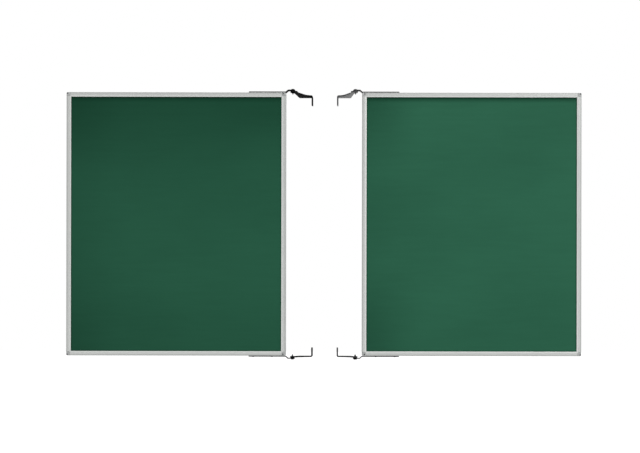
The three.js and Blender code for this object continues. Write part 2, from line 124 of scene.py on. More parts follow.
# %% Outlines given length
def to_mesh(bm):
    bmesh.ops.recalc_face_normals(bm, faces=bm.faces[:])
    mesh = bpy.data.meshes.new("shape")
    bm.to_mesh(mesh)
    bm.free()
    return mesh


def rounded(bm, kind, items, size, steps, **options):
    """Bevels vertices or edges into an arc. Scripts have to spell out what the editor sets by itself."""
    bmesh.ops.bevel(bm, geom=items, offset=size, segments=steps, profile=0.5, affect=kind, material=-1,
                    **options)


def give_length(bm, vector):
    """Extrudes every face of a flat shape along a vector."""
    pushed = bmesh.ops.extrude_face_region(bm, geom=bm.faces[:])["geom"]
    ends = [item for item in pushed if isinstance(item, bmesh.types.BMVert)]
    bmesh.ops.translate(bm, verts=ends, vec=vector)


def prism(outline, push, rounds=(), steps=8):
    """Pushes a flat outline along a vector. rounds holds (corner, radius) pairs."""
    bm = bmesh.new()
    corners = [bm.verts.new(point) for point in outline]
    bm.faces.new(corners)
    for index, radius in rounds:
        corner = corners[index]
        legs = [edge.other_vert(corner).co - corner.co for edge in corner.link_edges]
        along = radius / tan(legs[0].angle(legs[1]) / 2)
        rounded(bm, "VERTICES", [corner], along, steps, offset_type="OFFSET")
    give_length(bm, push)
    return to_mesh(bm)


print("outlines can be rounded and given length")

# %% Blocks and turned pieces
def block(low, high):
    """A box between two corners, as a tool for cutting or joining."""
    low, high = Vector(low), Vector(high)
    bm = bmesh.new()
    size = Matrix.Diagonal((*(high - low), 1))
    bmesh.ops.create_cube(bm, size=1, matrix=Matrix.Translation((low + high) / 2) @ size)
    return to_mesh(bm)


same_place = 1e-7                    # points nearer than this are one


def turned(profile, steps=48):
    """Spins (radius, height) pairs about the Z axis."""
    bm = bmesh.new()
    points = [bm.verts.new((radius, 0, height)) for radius, height in profile]
    edges = [bm.edges.new(pair) for pair in zip(points, points[1:])]
    bmesh.ops.spin(bm, geom=points + edges, cent=(0, 0, 0), axis=(0, 0, 1), angle=2 * pi,
                   steps=steps, use_merge=True)
    bmesh.ops.remove_doubles(bm, verts=bm.verts[:], dist=same_place)
    return to_mesh(bm)


def rod(radius, low, high, steps=48):
    """A round bar on the Z axis, as a tool for holes and bosses."""
    return turned([(0, low), (radius, low), (radius, high), (0, high)], steps)


print("blocks and turned pieces can be made")

# %% Moving shapes
def moved(shape, *steps):
    """Moves a shape. A mirroring turns it inside out, so its faces are flipped back."""
    for step in steps:
        shape.transform(step)
        if step.determinant() < 0:
            shape.flip_normals()
    return shape


def shift(x=0, y=0, z=0):
    return Matrix.Translation((x, y, z))


def quarter(axis):
    """A quarter turn about an axis."""
    return Matrix.Rotation(pi / 2, 4, axis)


print("shapes can be moved, turned and mirrored")

# %% Joining, cutting and softening
merge_distance = 4e-6                # far below any real detail
crisp = radians(35)                  # edges that bend by more than this are softened


def cleaned(mesh):
    """Merges points that lie together and drops faces without area, which Booleans can leave."""
    bm = bmesh.new()
    bm.from_mesh(mesh)
    bmesh.ops.remove_doubles(bm, verts=bm.verts[:], dist=merge_distance)
    bmesh.ops.dissolve_degenerate(bm, edges=bm.edges[:], dist=merge_distance)
    bm.to_mesh(mesh)
    bm.free()
    return mesh


def settled(shape, add_modifiers):
    """A new mesh with the modifiers that add_modifiers gives the shape's object."""
    stand = bpy.data.objects.new("stand", shape)
    bpy.context.scene.collection.objects.link(stand)
    helpers = add_modifiers(stand) or []
    bpy.context.view_layer.update()
    shown = stand.evaluated_get(bpy.context.evaluated_depsgraph_get())
    made = bpy.data.meshes.new_from_object(shown)
    for obj in [stand, *helpers]:
        bpy.data.objects.remove(obj)
    return cleaned(made)


def combined(shape, operation, *tools):
    """Joins (UNION), cuts (DIFFERENCE) or intersects (INTERSECT) closed shapes."""
    def add(stand):
        helpers = []
        for tool in tools:
            helper = bpy.data.objects.new("tool", tool)
            bpy.context.scene.collection.objects.link(helper)
            modifier = stand.modifiers.new("join", "BOOLEAN")
            modifier.operation, modifier.solver, modifier.object = operation, "EXACT", helper
            helpers.append(helper)
        return helpers
    return settled(shape, add)


def cut(shape, *tools):
    return combined(shape, "DIFFERENCE", *tools)


def softened(shape, width, steps=2):
    """Rounds every crisp edge, as pressing, coating or moulding leaves it."""
    def add(stand):
        modifier = stand.modifiers.new("soft edges", "BEVEL")
        modifier.width, modifier.segments = width, steps
        modifier.limit_method, modifier.angle_limit = "ANGLE", crisp
    return settled(shape, add)


print("shapes can be joined, cut and softened")

# %% [markdown]
# How a finish is put together
#
# Real finishes are never one flat colour. The shade, the gloss and the relief of each one vary a
# little, and at a scale of their own. That variation is the same kind of thing for paint, plastic and
# metal, so one node group makes it, and each material gives it its own colour, scale and direction.
# The group puts out only what changes over the surface. The shader itself stays in the material.

# %% Nodes in few words
def feed(links, socket, value):
    """Gives a socket a link if the value is another socket, and a plain value if not."""
    if isinstance(value, bpy.types.NodeSocket):
        links.new(value, socket)
    else:
        socket.default_value = value


def mix_colour(nodes, links, factor, first, second, blend="MIX"):
    node = nodes.new("ShaderNodeMix")
    node.data_type, node.blend_type = "RGBA", blend
    factor_in, first_in, second_in = node.inputs[0], node.inputs[6], node.inputs[7]
    for socket, value in ((factor_in, factor), (first_in, first), (second_in, second)):
        feed(links, socket, value)
    return node.outputs[2]


def maths(nodes, links, operation, *values, clamp=False):
    node = nodes.new("ShaderNodeMath")
    node.operation, node.use_clamp = operation, clamp
    for socket, value in zip(node.inputs, values):
        feed(links, socket, value)
    return node.outputs[0]


def spread(nodes, links, value, low, high, to_low=0.0, to_high=1.0):
    """Maps a value smoothly from one range to another, and holds it there."""
    node = nodes.new("ShaderNodeMapRange")
    node.interpolation_type = "SMOOTHSTEP"
    for socket, number in zip(node.inputs, (value, low, high, to_low, to_high)):
        feed(links, socket, number)
    return node.outputs[0]


def product(nodes, links, first, *others):
    for other in others:
        first = maths(nodes, links, "MULTIPLY", first, other)
    return first


def cloud(nodes, links, vector, scale, detail=3.0, roughness=0.5):
    """Soft noise from 0 to 1."""
    node = nodes.new("ShaderNodeTexNoise")
    links.new(vector, node.inputs["Vector"])
    for name, value in (("Scale", scale), ("Detail", detail), ("Roughness", roughness)):
        feed(links, node.inputs[name], value)
    return node.outputs["Fac"]


print("node helpers ready")

# %% A group for grain
patch_share, patch_low, patch_high = 0.65, 0.35, 0.65
relief_height = 0.0002


def grain_group():
    """Broad patches and fine grain together mix two colours, vary the roughness and raise the surface."""
    group = bpy.data.node_groups.new("grain", "ShaderNodeTree")
    for name, kind, value in (
        ("Vector", "NodeSocketVector", None), ("Color", "NodeSocketColor", (0.5, 0.5, 0.5, 1)),
        ("Worn Color", "NodeSocketColor", (0.6, 0.6, 0.6, 1)), ("Patch Scale", "NodeSocketFloat", 20),
        ("Grain Scale", "NodeSocketFloat", 800), ("Roughness", "NodeSocketFloat", 0.5),
        ("Roughness Spread", "NodeSocketFloat", 0.1), ("Relief", "NodeSocketFloat", 0.1),
    ):
        socket = group.interface.new_socket(name, in_out="INPUT", socket_type=kind)
        if value is not None:
            socket.default_value = value
    for name, kind in (("Color", "NodeSocketColor"), ("Roughness", "NodeSocketFloat"),
                       ("Normal", "NodeSocketVector")):
        group.interface.new_socket(name, in_out="OUTPUT", socket_type=kind)
    nodes, links = group.nodes, group.links
    given, made = nodes.new("NodeGroupInput"), nodes.new("NodeGroupOutput")
    patches = cloud(nodes, links, given.outputs["Vector"], given.outputs["Patch Scale"])
    grain = cloud(nodes, links, given.outputs["Vector"], given.outputs["Grain Scale"], 2.0)
    both = maths(nodes, links, "ADD", product(nodes, links, patches, patch_share),
                 product(nodes, links, grain, 1 - patch_share))
    mask = spread(nodes, links, both, patch_low, patch_high)
    colour = mix_colour(nodes, links, mask, given.outputs["Color"], given.outputs["Worn Color"])
    offset = product(nodes, links, maths(nodes, links, "SUBTRACT", mask, 0.5),
                     given.outputs["Roughness Spread"])
    rough = maths(nodes, links, "ADD", given.outputs["Roughness"], offset, clamp=True)
    bump = nodes.new("ShaderNodeBump")
    bump.inputs["Distance"].default_value = relief_height
    links.new(given.outputs["Relief"], bump.inputs["Strength"])
    links.new(grain, bump.inputs["Height"])
    for socket, name in ((colour, "Color"), (rough, "Roughness"), (bump.outputs["Normal"], "Normal")):
        links.new(socket, made.inputs[name])
    return group


grain = grain_group()
print("grain group:", [item.name for item in grain.interface.items_tree])

# %% Grained materials
def shade(red, green, blue):
    """Turns a colour of 0 to 255 screen values into the linear values that shaders use."""
    def linear(value):
        value /= 255
        return value / 12.92 if value <= 0.04045 else ((value + 0.055) / 1.055) ** 2.4
    return linear(red), linear(green), linear(blue), 1.0


def new_material(name, **sockets):
    """A material and its nodes. A shader socket such as IOR Level is set as ior_level=0.5."""
    made = bpy.data.materials.new(name)
    made.use_nodes = True
    shader = made.node_tree.nodes["Principled BSDF"]
    for label, value in sockets.items():
        shader.inputs[label.replace("_", " ").title().replace("Ior", "IOR")].default_value = value
    return made, made.node_tree.nodes, made.node_tree.links, shader


def object_place(nodes, links, stretch=(1, 1, 1)):
    """Object coordinates, which stay with the piece when it moves, stretched along one axis or more."""
    place, mapping = nodes.new("ShaderNodeTexCoord"), nodes.new("ShaderNodeMapping")
    mapping.inputs["Scale"].default_value = stretch
    links.new(place.outputs["Object"], mapping.inputs["Vector"])
    return mapping.outputs["Vector"]


def grained(name, colour, worn, patch, fine, rough, rough_spread, relief, stretch=(1, 1, 1), **sockets):
    """A material whose colour, gloss and relief come from the grain group."""
    made, nodes, links, shader = new_material(name, **sockets)
    group = nodes.new("ShaderNodeGroup")
    group.node_tree = grain
    links.new(object_place(nodes, links, stretch), group.inputs["Vector"])
    for label, value in (("Color", colour), ("Worn Color", worn), ("Patch Scale", patch),
                         ("Grain Scale", fine), ("Roughness", rough),
                         ("Roughness Spread", rough_spread), ("Relief", relief)):
        group.inputs[label].default_value = value
    for source, target in (("Color", "Base Color"), ("Roughness", "Roughness"), ("Normal", "Normal")):
        links.new(group.outputs[source], shader.inputs[target])
    return made


print("a mid grey is", [round(value, 3) for value in shade(128, 128, 128)[:3]], "as linear values")

# %% [markdown]
# Distances on a wing
#
# Painted light and shade follow the edge of these wings: painted shade darkens the outer round of the
# frame, a painted highlight brightens its lip, and painted shade and shadow darken the enamel where the
# sheet meets the lip. So the materials need to know how far inside the wing a point lies. The two wings
# mirror each other, so the absolute value of the X coordinate serves both.

# %% Distances from the wing's edges
def edge_distances(nodes, links, place):
    """How far a point lies inside its wing's nearest side, its foot and its top."""
    split = nodes.new("ShaderNodeSeparateXYZ")
    links.new(place, split.inputs[0])
    x = maths(nodes, links, "ABSOLUTE", split.outputs["X"])
    off_middle = maths(nodes, links, "ABSOLUTE", maths(nodes, links, "SUBTRACT", x, wing_x))
    from_side = maths(nodes, links, "SUBTRACT", wing_width / 2, off_middle)
    from_foot = maths(nodes, links, "ADD", split.outputs["Z"], edge_z)
    from_top = maths(nodes, links, "SUBTRACT", edge_z, split.outputs["Z"])
    return from_side, from_foot, from_top


def smallest(nodes, links, first, *others):
    for other in others:
        first = maths(nodes, links, "MINIMUM", first, other)
    return first


print("a point at the wing's middle is", round(wing_width / 2, 3), "m inside its sides")

# %% [markdown]
# Aluminium, plastic and steel
#
# The frame is drawn aluminium, anodised to a satin. The die leaves faint lines along each length, so
# the grain is stretched along X for the rails and along Z for the stiles. Painted shade darkens the outer
# round and a painted highlight brightens the lip, against the flat band between them.

# %% Make the aluminium
# Painted shade on the outer round and a painted highlight on the lip, set by distance from the wing's
# edge
round_shade_from, round_shade_to, round_shade_tone = 0.001, 0.012, 0.74
lip_highlight_from, lip_highlight_to, lip_highlight_tone = 0.0125, 0.0155, 1.12
along_grain = 0.02                   # the grain's scale along a length, as a share of that across


def aluminium(name, stretch):
    made = grained(name, shade(183, 185, 183), shade(188, 190, 188), 18, 700, 0.45, 0.05, 0.03,
                   stretch, metallic=0.55)
    nodes, links = made.node_tree.nodes, made.node_tree.links
    inside = smallest(nodes, links, *edge_distances(nodes, links, object_place(nodes, links)))
    # painted shade darkens the outer round, and a painted highlight brightens the lip
    shaded_round = spread(nodes, links, inside, round_shade_from, round_shade_to, round_shade_tone, 1)
    highlit_lip = spread(nodes, links, inside, lip_highlight_from, lip_highlight_to, 1, lip_highlight_tone)
    tone = product(nodes, links, shaded_round, highlit_lip)
    colour = nodes["Principled BSDF"].inputs["Base Color"]
    links.new(mix_colour(nodes, links, 1.0, colour.links[0].from_socket, tone, "MULTIPLY"), colour)
    return made


anodised_rail = aluminium("anodised_rail", (along_grain, 1, 1))
anodised_stile = aluminium("anodised_stile", (1, 1, along_grain))
print("aluminium nodes:", len(anodised_rail.node_tree.nodes))

# %% [markdown]
# Plastic, coats and plating
#
# These finishes have the same grain all over. The corners are moulded grey plastic with a fine even
# texture. The hinges are steel under one dark coat, drawn as three copies whose sheens and shades
# paint light and shade: the matt one is shaded, the gloss one lit. Two pivots and the straps' screws are
# plated, two pivots take the shaded coat, and the corner screws are blackened. Each call gives two
# colours, the scales of patches and grain, the roughness and its spread, and the relief.

# %% Make the plain grained finishes
corner_plastic = grained("corner_plastic", shade(158, 160, 159), shade(168, 170, 169), 60, 1500,
                         0.55, 0.1, 0.25)
# One coat painted darker and lighter: matt is the shaded copy, satin half shaded, gloss the lit copy
coats = {
    "matt": grained("shaded_matt_coat", shade(9, 9, 10), shade(14, 14, 15), 90, 900, 0.8, 0.1, 0.35,
                    specular_ior_level=0.03),
    "satin": grained("half_shaded_satin_coat", shade(20, 21, 22), shade(28, 29, 30), 90, 900, 0.5, 0.12, 0.3,
                     specular_ior_level=0.25),
    "gloss": grained("lit_gloss_coat", shade(36, 37, 38), shade(44, 45, 46), 90, 700, 0.38, 0.1, 0.12,
                     specular_ior_level=0.4),
}
plated_steel = grained("plated_steel", shade(70, 72, 74), shade(96, 97, 98), 250, 2500, 0.38, 0.16,
                       0.15, metallic=0.8)
blackened_steel = grained("blackened_steel", shade(14, 14, 15), shade(24, 24, 25), 250, 2500, 0.55,
                          0.14, 0.15, metallic=0.2)
nylon = grained("nylon", shade(30, 30, 31), shade(38, 38, 39), 120, 1800, 0.5, 0.1, 0.2)
board_core = grained("board_core", shade(150, 126, 92), shade(172, 148, 112), 60, 1200, 0.9, 0.1, 0.4)
print("grained finishes:", [made.name for made in bpy.data.materials])

# %% [markdown]
# The writing surface
#
# Chalkboard enamel is a deep green glass fused on steel. It is matt, with a very slight orange peel. In
# use a thin haze of chalk stays behind. The cloth spreads it in broad soft clouds with fine level
# strokes. Painted shade takes haze away on the left wing, most of all higher up, towards the left of both
# wings' ends, and in a strip along the frame, and a painted shadow under the top rail takes it away and
# darkens the enamel further, so the clean dark green shows there. So the colour is clean enamel, covered
# by haze wherever masks of clouds and strokes say, and darkened by painted shade where distances say.

# %% Where painted shade thins the haze
clean_and_shaded_green, hazy_green = shade(3, 46, 29), shade(41, 94, 71)
# Painted shade: shares of the haze taken away on the left wing and on the left of both wings, so the
# clean green there also serves as shaded green
top_shade, middle_shade, foot_shade = 0.64, 0.24, 0.12  # shares of the left wing's haze
left_shade, corner_shade = 0.12, 0.3                      # shares of both wings' haze
top_fade, end_fade, left_fade = 0.5, 0.4, 0.3                 # how far in from the edges these reach


def painted_shade_on_ends(nodes, links, place, from_foot, from_top):
    """Painted shade as the share of haze kept: less on the left wing, most of all higher up, and less on
    the left of each wing, most at its ends.
    """
    split = nodes.new("ShaderNodeSeparateXYZ")
    links.new(place, split.inputs[0])
    on_left = maths(nodes, links, "LESS_THAN", split.outputs["X"], 0.0)
    to_next = product(nodes, links, on_left, wing_width + 2 * edge_x)
    from_left = maths(nodes, links, "ADD", split.outputs["X"], to_next)
    upper = spread(nodes, links, from_top, 0, top_fade, top_shade, middle_shade)
    lower = spread(nodes, links, from_foot, 0, end_fade, foot_shade, 0)
    left_wing_shade = product(nodes, links, maths(nodes, links, "ADD", upper, lower), on_left)
    leftness = spread(nodes, links, from_left, edge_x, edge_x + left_fade, 1, 0)
    endness = spread(nodes, links, smallest(nodes, links, from_top, from_foot), 0, end_fade, 1, 0)
    cornered = product(nodes, links, leftness, endness)
    left_and_corner_shade = maths(nodes, links, "ADD", product(nodes, links, leftness, left_shade),
                   product(nodes, links, cornered, corner_shade))
    return product(nodes, links, maths(nodes, links, "SUBTRACT", 1.0, left_wing_shade),
                   maths(nodes, links, "SUBTRACT", 1.0, left_and_corner_shade))


print("clean and hazy green in linear values:",
      [[round(value, 3) for value in green[:3]] for green in (clean_and_shaded_green, hazy_green)])

# %% How much haze there is, with painted shade and shadow
cloud_stretch, stroke_stretch = (1.4, 1, 2.6), (5, 1, 55)
# Each of these is a range of the noise or of the distance in metres, and the haze at both its ends.
cloudy, streaky = (0.35, 0.65, 0.88, 1.02), (0.3, 0.7, 0.93, 1.01)
# Painted shade along the frame and a painted shadow under the top rail, both made by taking haze away
frame_shade, rail_shadow = (-0.001, 0.009, 0.5, 1), (-0.004, 0.03, 0.1, 1)


def haze_and_painted_shade(nodes, links, place, distances, under_rail):
    from_side, from_foot, from_top = distances
    from_frame = maths(nodes, links, "SUBTRACT", smallest(nodes, links, from_side, from_foot), frame_face)
    clouds = cloud(nodes, links, object_place(nodes, links, cloud_stretch), 1.0, 3.0, 0.45)
    strokes = cloud(nodes, links, object_place(nodes, links, stroke_stretch), 1.0, 5.0, 0.62)
    return product(nodes, links, spread(nodes, links, clouds, *cloudy),
                   spread(nodes, links, strokes, *streaky),
                   spread(nodes, links, from_frame, *frame_shade),
                   spread(nodes, links, under_rail, *rail_shadow),
                   painted_shade_on_ends(nodes, links, place, from_foot, from_top))


print("least haze under the top rail:", rail_shadow[2])

# %% Make the enamel
peel_scale, peel_strength = 260, 0.08
clean_rough, hazy_rough = 0.42, 0.56
# A painted shadow that darkens the enamel just below the top rail
rail_shadow_tone = (-0.002, 0.012, 0.7, 1)      # a range of metres below the rail, and the tone at both its ends


def enamel_material():
    made, nodes, links, shader = new_material("chalkboard_enamel", specular_ior_level=0.06)
    place = object_place(nodes, links)
    distances = edge_distances(nodes, links, place)
    under_rail = maths(nodes, links, "SUBTRACT", distances[2], frame_face)
    # the mask mixes real haze clouds and strokes with painted shade and shadow
    haze_and_shade = haze_and_painted_shade(nodes, links, place, distances, under_rail)
    colour = mix_colour(nodes, links, haze_and_shade, clean_and_shaded_green, hazy_green)
    # painted shadow under the top rail
    painted_rail_shadow = spread(nodes, links, under_rail, *rail_shadow_tone)
    links.new(mix_colour(nodes, links, 1.0, colour, painted_rail_shadow, "MULTIPLY"), shader.inputs["Base Color"])
    links.new(spread(nodes, links, haze_and_shade, 0, 1, clean_rough, hazy_rough), shader.inputs["Roughness"])
    peel = nodes.new("ShaderNodeBump")
    peel.inputs["Strength"].default_value = peel_strength
    peel.inputs["Distance"].default_value = relief_height
    links.new(cloud(nodes, links, place, peel_scale, 2.0), peel.inputs["Height"])
    links.new(peel.outputs["Normal"], shader.inputs["Normal"])
    return made


enamel = enamel_material()
print("enamel nodes:", len(enamel.node_tree.nodes))

# %% [markdown]
# Putting a piece in its place
#
# Each visible piece stands for one solid of the measured model. It takes its body from that solid, so
# it turns with its own wing or stays with the carriers, and it is given its finish. Faces
# shade smoothly except across real edges.

# %% Dress a solid
dressed = []
real_edge = radians(32)              # faces that meet at more than this keep a sharp edge between them


def dress(node, shape, finish, turn=Matrix.Identity(4)):
    """Gives a solid of the measured model its visible piece, mirrored to where the solid is."""
    mesh = moved(shape.copy(), turn)
    mesh.shade_smooth()
    mesh.set_sharp_from_angle(angle=real_edge)
    mesh.materials.clear()
    mesh.materials.append(finish)
    piece = bpy.data.objects.new(f"{node}_piece", mesh)
    bpy.context.scene.collection.objects.link(piece)
    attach(piece, body_of[node])
    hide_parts(node)
    dressed.append(piece)


def dress_hinges(name, shape, finishes):
    """Dresses the same piece of all four hinges. finishes holds the finish for each of them."""
    for side, end in hinges:
        dress(f"{side}_{end}_{name}", shape, finishes[side, end], turn_to(side, end))


def report(label, count):
    faces = sum(len(piece.data.polygons) for piece in dressed[-count:])
    print(f"{label}: {count} pieces, {faces} faces")


print("sharp edges are kept past", round(real_edge, 2), "radians")

# %% [markdown]
# The board and its sheets
#
# The core stays as measured, since only its finish could ever show. The steel sheets are flat to the
# eye, but pressed sheet is never perfect: over a span of a metre it waves by a tenth of a millimetre,
# and a low light finds it. Each sheet is a thin block whose outer face is divided and moved by noise,
# with the edges left straight where the groove holds them.

# %% Make the sheets
wave_height, wave_length, wave_steps = 0.00012, 0.24, 24


def same(first, second):
    """Whether two places along an axis are one, within a thousandth of a millimetre."""
    return abs(first - second) < 1e-6


def faces_across(edge):
    """Whether an edge lies in a plate's face or end, and doesn't run from front to back."""
    return same(edge.verts[0].co.y, edge.verts[1].co.y)


def wavy_sheet(node):
    low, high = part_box(node)
    outwards = -1 if low.y < 0 else 1
    face_y = low.y if outwards < 0 else high.y
    bm = bmesh.new()
    bm.from_mesh(block(low, high))
    across = [edge for edge in bm.edges if faces_across(edge)]
    bmesh.ops.subdivide_edges(bm, edges=across, cuts=wave_steps, use_grid_fill=True)
    for vertex in bm.verts:
        place = vertex.co
        margin = min(place.x - low.x, high.x - place.x, place.z - low.z, high.z - place.z)
        if same(place.y, face_y) and margin > frame_face:
            place.y += outwards * wave_height * (0.5 + 0.5 * noise.noise(place / wave_length))
    return to_mesh(bm)


for side in sides:
    for node in (f"{side}_front_sheet", f"{side}_back_sheet"):
        dress(node, wavy_sheet(node), enamel)
    core_materials = frame["nodes"][f"{side}_board_core"].data.materials
    core_materials.clear()
    core_materials.append(board_core)
report("sheets", 4)

# %% [markdown]
# The frame extrusion
#
# One section makes all four sides: a rounded outer edge, a broad flat band, a fine shadow groove and a
# lip that slopes down to the sheet. Behind them are the groove that grips the board and the hollow that
# takes the corner's peg. The outline is drawn once, rounded by a vertex bevel, and given length.

# %% The section
edge_round = 0.0034
crown_end = 0.012                    # how far in the flat band reaches on a corner piece
shadow_groove, groove_width, groove_depth = 0.0136, 0.0007, 0.0006
lip_start, lip_half, lip_round = 0.0148, 0.0094, 0.0008
grip_half, grip_bottom = 0.0069, 0.009
hollow_near, hollow_far, hollow_half = 0.002, 0.0072, 0.008


def section_outline(place, gripping=True, depth=half_depth):
    """Gives the section's points and rounds. place(inwards, y) puts each point in its plane."""
    near = [(0, -depth)]
    if gripping:
        near += [(shadow_groove, -depth), (shadow_groove + groove_width / 3, -depth + groove_depth),
                 (shadow_groove + groove_width, -depth + groove_depth),
                 (lip_start, -depth + groove_depth / 2)]
    else:
        near += [(crown_end, -depth)]
    near += [(frame_face, -lip_half)]
    if gripping:
        near += [(frame_face, -grip_half), (grip_bottom, -grip_half)]
    both = near + [(inwards, -y) for inwards, y in reversed(near)]
    lip, last = near.index((frame_face, -lip_half)), len(both) - 1
    rounds = [(0, edge_round), (lip, lip_round), (last - lip, lip_round), (last, edge_round)]
    return [place(*point) for point in both], rounds


def stile_place(inwards, y):
    return Vector((edge_x + inwards, y, -edge_z))


def rail_place(inwards, y):
    return Vector((edge_x, y, edge_z - inwards))


print("section of", len(section_outline(stile_place)[0]), "corners before rounding")

# %% [markdown]
# Mitres and corner rooms
#
# The lengths meet in a mitre at the lip. The rest of each end is cut back round the corner piece, which
# has a rounded inner corner. Both cuts are prisms that pass right through the frame, and both are
# mirrored to the other end of the length.

# %% Tools for the lengths' ends
play = 0.0003                        # between pieces that fit into each other
past = 0.002                         # how far a cutting tool passes what it cuts
corner_size, corner_round, corner_inner_round = 0.018, 0.008, 0.006


def corner_prism(points, rounds=(), depth=half_depth + past):
    """A prism through the corner, from distances inwards from the side edge and from the top edge."""
    outline = [(edge_x + side, -depth, edge_z - top) for side, top in points]
    return prism(outline, (0, 2 * depth, 0), rounds)


def mitre(swapped):
    far, offset = frame_face + past, play / 2 ** 0.5
    points = [(-past, -past), (offset - past, -past), (far + offset, far), (-past, far)]
    return corner_prism([point[::-1] for point in points] if swapped else points)


def corner_room():
    """The room that the corner piece takes out of both lengths."""
    size = corner_size + play
    points = [(-past, -past), (size, -past), (size, size), (-past, size)]
    return corner_prism(points, [(2, corner_inner_round + play)])


def hollow_block(place, along):
    corners = place(hollow_near, -hollow_half), place(hollow_far, hollow_half)
    low = Vector(map(min, *corners)) - Vector(along) * past
    high = Vector(map(max, *corners)) + Vector(along) * (2 * edge_z + wing_width)
    return block(low, high)


print("corner room", corner_size + play, "m wide")

# %% Cut the lengths
def length_of_frame(place, push, along, swapped, mirroring):
    outline, rounds = section_outline(place)
    bar = prism(outline, push, rounds)
    near_end = [mitre(swapped), corner_room()]
    far_end = [moved(tool.copy(), mirroring) for tool in near_end]
    return cut(bar, hollow_block(place, along), *near_end, *far_end)


stile = length_of_frame(stile_place, (0, 0, 2 * edge_z), (0, 0, 1), True, to_bottom)
rail = length_of_frame(rail_place, (wing_width, 0, 0), (1, 0, 0), False, to_outer)
for side in sides:
    dress(f"{side}_hinge_stile", stile, anodised_stile, turn_to(side))
    dress(f"{side}_outer_stile", stile, anodised_stile, turn_to(side, outer=True))
    for end in ends:
        dress(f"{side}_{end}_rail", rail, anodised_rail, turn_to(side, end))
report("frame lengths", 8)

# %% [markdown]
# The corner pieces
#
# A moulded corner takes the common form of the two lengths that meet in it, so it is the part that
# two crossing sections share, inside a rounded outline. It stands a little proud of the metal in
# front, as a moulding that laps its joint does. Two pegs reach into the hollows. Where a tool's face
# would lie in the face that it cuts, a Boolean can go wrong, so each tool ends a little outside.

# %% Make the corner's body
corner_proud, corner_edge = 0.0003, 0.0004
outside = -0.00006                   # just outside the wing's edges


def corner_body():
    """The common form of two crossing sections, inside a rounded outline."""
    depth = half_depth + corner_proud
    upright, rounds = section_outline(stile_place, gripping=False, depth=depth)
    level, _ = section_outline(rail_place, gripping=False, depth=depth)
    upright_bar = moved(prism(upright, (0, 0, 2 * frame_face), rounds),
                        shift(z=2 * edge_z - 2 * frame_face + past))
    level_bar = moved(prism(level, (2 * frame_face, 0, 0), rounds), shift(x=-past))
    outline = corner_prism([(outside, outside), (corner_size, outside), (corner_size, corner_size),
                            (outside, corner_size)], [(0, corner_round), (2, corner_inner_round)])
    shared = combined(combined(upright_bar, "INTERSECT", outline), "INTERSECT", level_bar)
    return softened(shared, corner_edge)


plain_corner = corner_body()
print("corner body:", len(plain_corner.polygons), "faces")

# %% Make the corners
peg_length = 0.030
corner_screw_places = {"outer": (0.0056, 0.006), "hinge": (0.0125, 0.007)}
corner_screw_radius, corner_screw_length, hole_spare = 0.0015, 0.013, 0.0004


def corner_shape(inwards, down):
    low, high, half = hollow_near + play, hollow_far - play, hollow_half - play
    reach = corner_size + peg_length
    level_peg = block((edge_x + grip_bottom - past, -half, edge_z - high),
                      (edge_x + reach, half, edge_z - low))
    upright_peg = block((edge_x + low, -half, edge_z - reach),
                        (edge_x + high, half, edge_z - grip_bottom + past))
    grip = block((edge_x + grip_bottom, -grip_half, edge_z - 2 * frame_face),
                 (edge_x + 2 * frame_face, grip_half, edge_z - grip_bottom))
    hole = moved(rod(corner_screw_radius + play, -corner_screw_length - hole_spare, past, 16),
                 quarter("X"), shift(edge_x + inwards, -half_depth, edge_z - down))
    return cut(combined(cut(plain_corner, grip), "UNION", level_peg, upright_peg), hole)


for place, inset in corner_screw_places.items():
    shape = corner_shape(*inset)
    for side, end in hinges:
        dress(f"{side}_{end}_{place}_corner", shape, corner_plastic,
              turn_to(side, end, place == "outer"))
report("corners", 8)

# %% [markdown]
# Screws
#
# Pan head screws with a cross recess hold the corners and the straps. The head and shank are spun as
# one profile, and the recess is cut by two thin blades that narrow towards the bottom.

# %% Make the screws
crown = ((1, 0.35), (0.93, 0.66), (0.76, 0.88), (0.5, 0.98), (0, 1))  # shares of head and height
# The recess: half its length and half its width as shares of head, how far it goes below the head's
# underside as a share of height, and how it narrows at its foot.
recess_half, recess_slot, recess_foot, narrowing = 0.62, 0.13, 0.1, (0.35, 0.6, 1)


def pan_screw(radius, head, height, length):
    """A pan head screw that points down, with the underside of its head at the origin."""
    profile = [(0, -length), (radius * 0.4, -length), (radius, radius - length), (radius, 0), (head, 0)]
    profile += [(head * out, height * up) for out, up in crown]
    blade = block((-head * recess_half, -head * recess_slot, -height * recess_foot),
                  (head * recess_half, head * recess_slot, height * 2))
    bm = bmesh.new()
    bm.from_mesh(blade)
    foot = [vertex for vertex in bm.verts if vertex.co.z < 0]
    bmesh.ops.scale(bm, vec=narrowing, verts=foot)
    bm.to_mesh(blade)
    bm.free()
    return cut(turned(profile, 32), blade, moved(blade.copy(), quarter("Z")))


corner_screw = moved(pan_screw(corner_screw_radius, 0.0029, 0.0011, corner_screw_length),
                     Matrix.Rotation(pi / 5, 4, "Z"), quarter("X"), shift(edge_x, -half_depth, edge_z))
for place, (inwards, down) in corner_screw_places.items():
    shape = moved(corner_screw.copy(), shift(x=inwards, z=-down))
    for side, end in hinges:
        dress(f"{side}_{end}_{place}_corner_screw", shape, blackened_steel,
              turn_to(side, end, place == "outer"))
report("corner screws", 8)

# %% [markdown]
# The hinge strap
#
# The strap is flat bar that lies on the frame's edge and is cranked up to an ear round the pivot. Its
# side view has the two bends, rounded by the vertex bevel, and is given the bar's width. A disc joined
# to the end makes the ear. Then come the holes, and last the slight round of the sheared edges. All
# hinge pieces are drawn with the pivot at the origin and the frame's edge at height nought.

